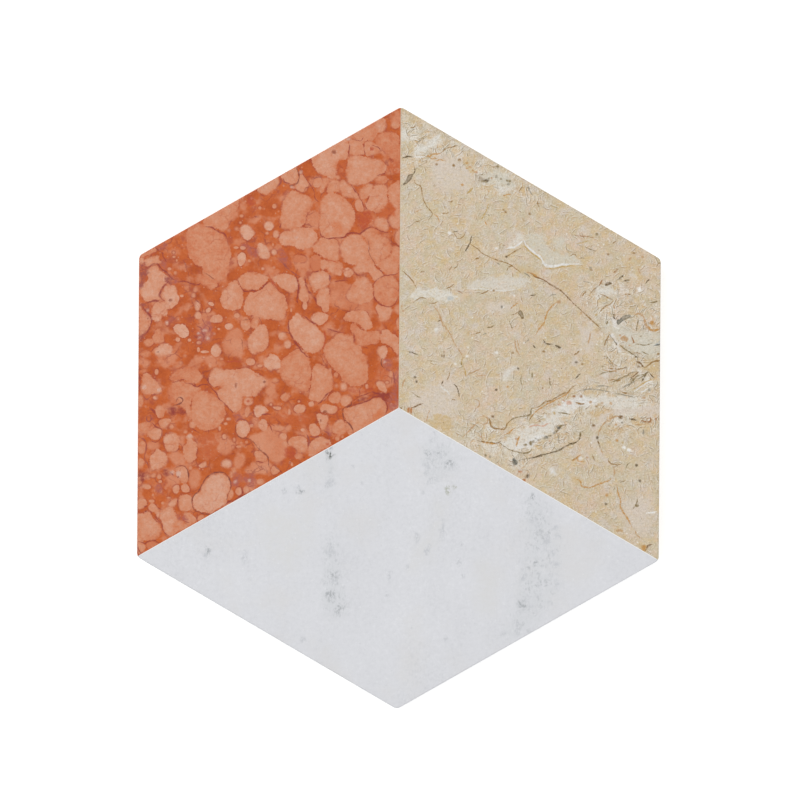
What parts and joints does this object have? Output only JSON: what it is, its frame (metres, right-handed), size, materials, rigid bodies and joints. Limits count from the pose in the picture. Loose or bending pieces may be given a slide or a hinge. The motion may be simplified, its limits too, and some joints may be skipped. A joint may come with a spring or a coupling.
{
  "type": "hexagon marble tile",
  "caption": "Flat hexagonal tile of red, cream and white marble rhombuses bonded edge to edge with resin, honed face up, for covering floors and walls.",
  "frame": {"origin": "middle of the sawn back, on the surface the tile lies on", "axes": "+Z out of the honed face, +X across two opposite flats, +Y from corner to corner, towards the corner where the cream and red stones meet"},
  "size_m": [0.2, 0.2302, 0.01],
  "materials": {
    "cream_marble": "honed cream shell marble with brown and white veins",
    "red_marble": "honed red nodular marble with salmon nodules",
    "white_marble": "honed white marble with grey flecks",
    "joint_resin": "cured pale resin, honed flush with the stones"
  },
  "bodies": {
    "root": {"cream_marble_rhombus": "cream_marble", "red_marble_rhombus": "red_marble", "white_marble_rhombus": "white_marble", "joint_resin": "joint_resin"}
  },
  "joints": []
}
